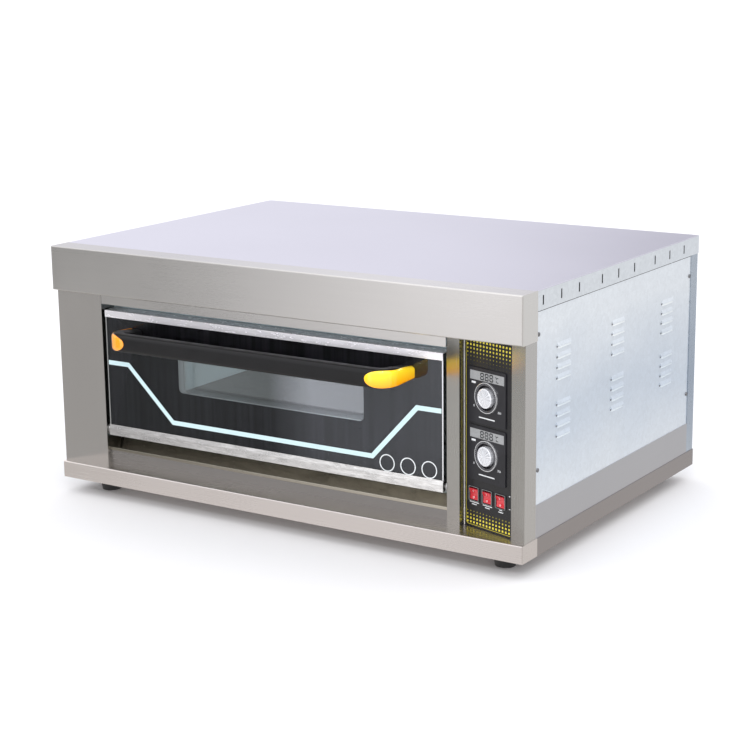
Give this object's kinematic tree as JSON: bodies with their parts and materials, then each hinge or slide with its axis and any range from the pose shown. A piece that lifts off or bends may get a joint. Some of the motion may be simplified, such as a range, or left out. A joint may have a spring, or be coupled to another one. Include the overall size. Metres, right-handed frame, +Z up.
{
  "type": "deck oven",
  "caption": "Low wide electric deck oven in stainless steel with a drop-down glass door, a black bow handle and a slanted control panel on the right.",
  "frame": {"origin": "on the floor under the middle of the whole oven, handle and cable gland included", "axes": "+X to the right seen from the front, +Y from the front to the back, +Z up"},
  "size_m": [1.22, 0.894, 0.583],
  "materials": {
    "brushed_stainless": "satin, brushed along the sheet",
    "polished_stainless": "bright polished",
    "galvanised_steel": "spangled zinc",
    "chamber_steel": "plain rolled",
    "hearth_steel": "heat darkened",
    "element_steel": "heat darkened tube",
    "plated_steel": "zinc plated",
    "bronze": "sintered bush",
    "chrome": "polished",
    "knob_silver": "silver finish",
    "clear_glass": "tempered",
    "black_print": "enamel on the back of the glass",
    "black_moulding": "heat resisting moulding",
    "amber_cap": "translucent",
    "panel_film": "printed film",
    "controller_black": "fine grain",
    "display_grey": "liquid crystal",
    "rocker_red": "translucent",
    "black_rubber": "matt",
    "silicone": "heat resisting seal",
    "mineral_wool": "slab",
    "ceramic": "glazed ceramic"
  },
  "bodies": {
    "casing": {"back_panel": "galvanised_steel", "baking_plate": "hearth_steel", "base_frame": "galvanised_steel", "base_front": "brushed_stainless", "cable_gland": "controller_black", "canopy": "brushed_stainless", "casing_screws": "plated_steel", "chamber_back_wall": "chamber_steel", "chamber_ceiling": "chamber_steel", "chamber_floor": "chamber_steel", "chamber_insulation": "mineral_wool", "chamber_left_wall": "chamber_steel", "chamber_right_wall": "chamber_steel", "component_tray": "galvanised_steel", "contactors": "controller_black", "control_panel": "galvanised_steel", "controllers": "controller_black", "dial_rings": "chrome", "displays": "display_grey", "fascia": "brushed_stainless", "foot_bolts": "plated_steel", "front_frame": "chamber_steel", "header_strip": "brushed_stainless", "heating_elements": "element_steel", "hinge_brackets": "chamber_steel", "hinge_pins": "plated_steel", "lamp": "ceramic", "lamp_glass": "clear_glass", "left_front_post": "brushed_stainless", "left_side_panel": "galvanised_steel", "panel_overlay": "panel_film", "rear_corners": "galvanised_steel", "right_front_posts": "brushed_stainless", "right_side_panel": "galvanised_steel", "rocker_bezels": "controller_black", "rubber_feet": "black_rubber", "side_skirts": "galvanised_steel", "sill": "polished_stainless", "temperature_probes": "element_steel", "terminal_block": "ceramic", "top_cover": "galvanised_steel"},
    "door": {"door_glass": "clear_glass", "glass_print": "black_print", "door_top_trim": "polished_stainless", "door_bottom_trim": "polished_stainless", "door_side_channels": "polished_stainless", "door_pan": "chamber_steel", "window_surround": "polished_stainless", "door_inner_glass": "clear_glass", "door_insulation": "mineral_wool", "door_seal": "silicone", "hinge_bushes": "bronze", "door_handle": "black_moulding", "handle_caps": "amber_cap", "handle_screws": "plated_steel"},
    "upper_temperature_knob": {"upper_knob": "knob_silver"},
    "lower_temperature_knob": {"lower_knob": "knob_silver"},
    "power_switch": {"power_rocker": "rocker_red"},
    "top_heat_switch": {"top_heat_rocker": "rocker_red"},
    "bottom_heat_switch": {"bottom_heat_rocker": "rocker_red"}
  },
  "joints": [
    {"name": "door_hinge", "type": "hinge", "parent": "casing", "child": "door", "pos_m": [-0.0635, -0.34, 0.146], "axis": [1, 0, 0], "range_deg": [0, 90]},
    {"name": "upper_knob_turn", "type": "hinge", "parent": "casing", "child": "upper_temperature_knob", "pos_m": [0.50034, -0.36887, 0.355], "axis": [0.2812, 0.9597, 0], "range_deg": [0, 270]},
    {"name": "lower_knob_turn", "type": "hinge", "parent": "casing", "child": "lower_temperature_knob", "pos_m": [0.50034, -0.36887, 0.234], "axis": [0.2812, 0.9597, 0], "range_deg": [0, 270]},
    {"name": "power_switch_tilt", "type": "hinge", "parent": "casing", "child": "power_switch", "pos_m": [0.46494, -0.35277, 0.146], "axis": [-0.9597, 0.2812, 0], "range_deg": [0, 16]},
    {"name": "top_heat_switch_tilt", "type": "hinge", "parent": "casing", "child": "top_heat_switch", "pos_m": [0.50188, -0.36359, 0.146], "axis": [-0.9597, 0.2812, 0], "range_deg": [0, 16]},
    {"name": "bottom_heat_switch_tilt", "type": "hinge", "parent": "casing", "child": "bottom_heat_switch", "pos_m": [0.53883, -0.37441, 0.146], "axis": [-0.9597, 0.2812, 0], "range_deg": [0, 16]}
  ]
}
